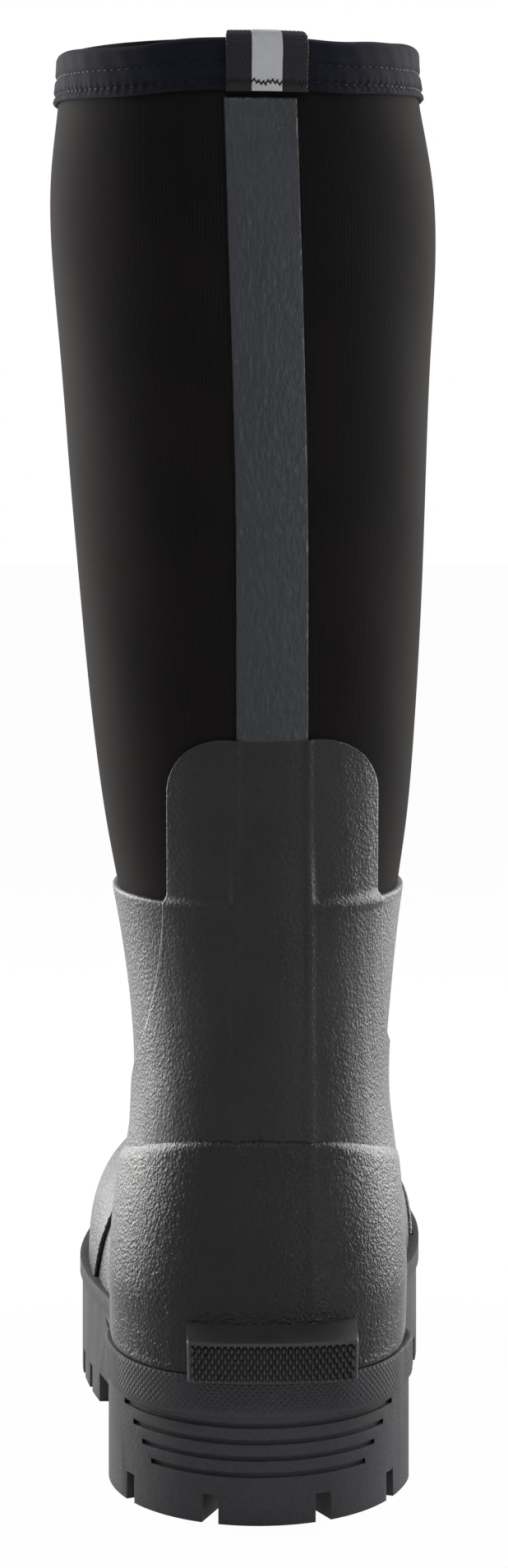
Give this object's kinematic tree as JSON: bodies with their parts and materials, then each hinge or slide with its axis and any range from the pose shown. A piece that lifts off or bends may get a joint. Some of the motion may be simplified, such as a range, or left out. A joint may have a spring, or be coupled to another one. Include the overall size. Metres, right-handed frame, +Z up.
{
  "type": "insulated rubber boot",
  "caption": "Tall left-foot muck boot: knit-faced neoprene shaft, rubber foot with heel, toe and back guards, kick-off ledge, pull loop and lugged sole.",
  "frame": {"origin": "on the ground under the centre of the heel, on the sole of the middle heel lug", "axes": "+Z up along the shaft, +Y forward to the toe, +X to the inner (medial) side of the left foot"},
  "size_m": [0.1159, 0.3097, 0.4225],
  "materials": {
    "rubber_shell": "dark grey vulcanised rubber with a fine leather-like grain, satin",
    "rubber_guard": "thicker black rubber, satin with a soft gloss at the edges",
    "rubber_stay": "thin rubber strip with a wrinkled leather grain, satin",
    "rubber_sole": "matte charcoal moulded rubber",
    "kick_rubber": "near black rubber, glossy on top",
    "neoprene": "knit-faced neoprene foam with fine vertical ribs, matte",
    "lining_knit": "brushed polyester knit",
    "tape": "knitted seam tape",
    "binding_fabric": "navy-black woven edge binding, matte",
    "thread": "polyester sewing thread",
    "webbing": "black woven webbing",
    "reflector": "silver-white reflective tape",
    "footbed_foam": "moulded EVA foam",
    "footbed_knit": "knit cover",
    "stiffener": "moulded thermoplastic stiffener sheet",
    "board": "pressed fibre board",
    "midsole_foam": "moulded EVA foam",
    "steel": "spring steel"
  },
  "bodies": {
    "root": {"neoprene_sock": "neoprene", "lining": "lining_knit", "inner_seam_tape": "tape", "heel_stiffener": "stiffener", "toe_puff": "stiffener", "insole_board": "board", "foot_shell": "rubber_shell", "front_guard": "rubber_guard", "back_panel": "rubber_shell", "back_stay": "rubber_stay", "heel_wrap": "rubber_guard", "toe_cap": "rubber_guard", "kick_ledge": "kick_rubber", "topline_binding": "binding_fabric", "binding_stitching": "thread", "pull_loop": "webbing", "reflective_stripe": "reflector", "loop_bartack": "thread", "outsole": "rubber_sole", "midsole": "midsole_foam", "steel_shank": "steel", "shank_rivets": "steel", "footbed": "footbed_foam", "footbed_cover": "footbed_knit"}
  },
  "joints": []
}
